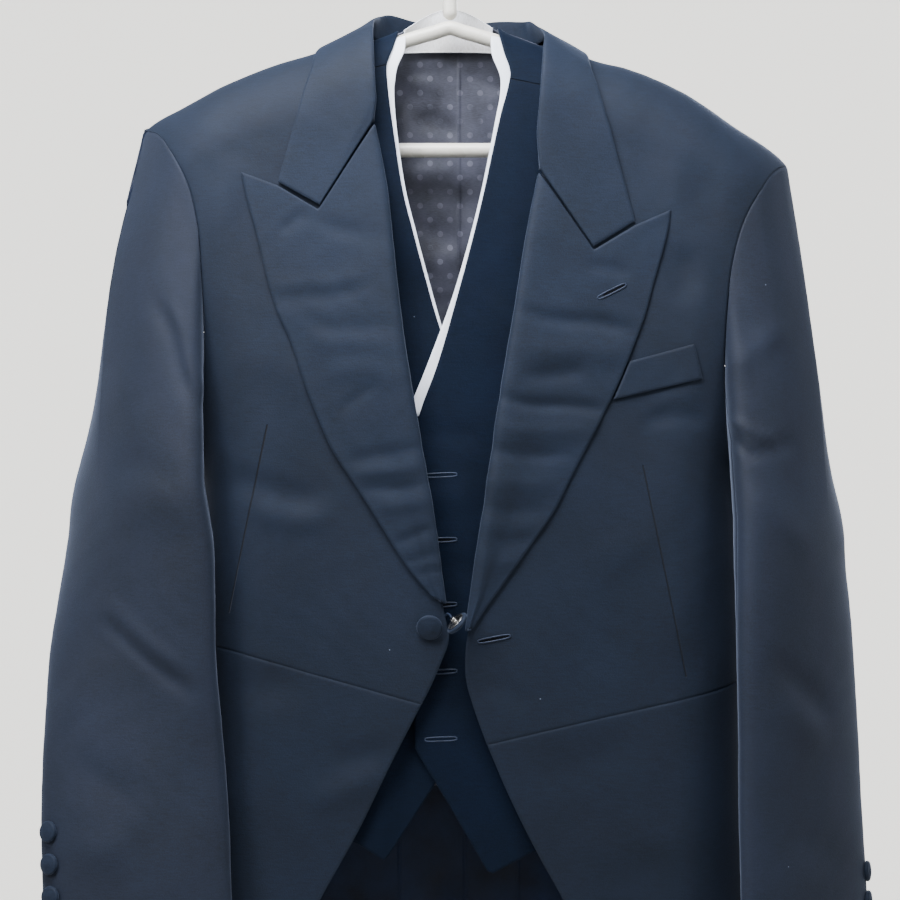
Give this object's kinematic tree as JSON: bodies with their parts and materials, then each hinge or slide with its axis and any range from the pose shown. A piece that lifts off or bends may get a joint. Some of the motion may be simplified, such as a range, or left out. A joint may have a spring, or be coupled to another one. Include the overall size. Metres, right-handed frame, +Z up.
{
  "type": "morning suit on a hanger",
  "caption": "Navy cutaway morning coat with peak lapels over a low-cut waistcoat with a white slip, on a white hanger.",
  "frame": {"origin": "inside top of the hanger's hook, where the rail carries it", "axes": "+Z up along the hanger's stem, -Y out of the suit's front, +X to the wearer's left"},
  "size_m": [0.6277, 0.1474, 1.129],
  "materials": {
    "navy_worsted": "matt",
    "navy_barathea_facing": "matt",
    "grey_lining": "satin",
    "white_cotton": "matt",
    "white_plastic": "satin",
    "nickel": "polished"
  },
  "bodies": {
    "root": {"coat_front_right": "navy_worsted", "coat_side_right": "navy_worsted", "coat_back_right": "navy_worsted", "coat_skirt_right": "navy_worsted", "sleeve_top_right": "navy_worsted", "sleeve_under_right": "navy_worsted", "lapel_right": "navy_barathea_facing", "waistcoat_front_right": "navy_worsted", "waistcoat_back_right": "grey_lining", "slip_right": "white_cotton", "cuff_button_right_1": "navy_worsted", "cuff_button_right_2": "navy_worsted", "cuff_button_right_3": "navy_worsted", "back_button_right": "navy_worsted", "coat_front_left": "navy_worsted", "coat_side_left": "navy_worsted", "coat_back_left": "navy_worsted", "coat_skirt_left": "navy_worsted", "sleeve_top_left": "navy_worsted", "sleeve_under_left": "navy_worsted", "lapel_left": "navy_barathea_facing", "waistcoat_front_left": "navy_worsted", "waistcoat_back_left": "grey_lining", "slip_left": "white_cotton", "cuff_button_left_1": "navy_worsted", "cuff_button_left_2": "navy_worsted", "cuff_button_left_3": "navy_worsted", "back_button_left": "navy_worsted", "collar": "navy_worsted", "slip_back": "white_cotton", "chest_pocket_welt": "navy_worsted", "link_button_outer": "navy_worsted", "link_button_inner": "navy_worsted", "link_shank": "nickel", "link_thread": "navy_worsted", "hanger": "white_plastic", "hanger_hook": "white_plastic"}
  },
  "joints": []
}
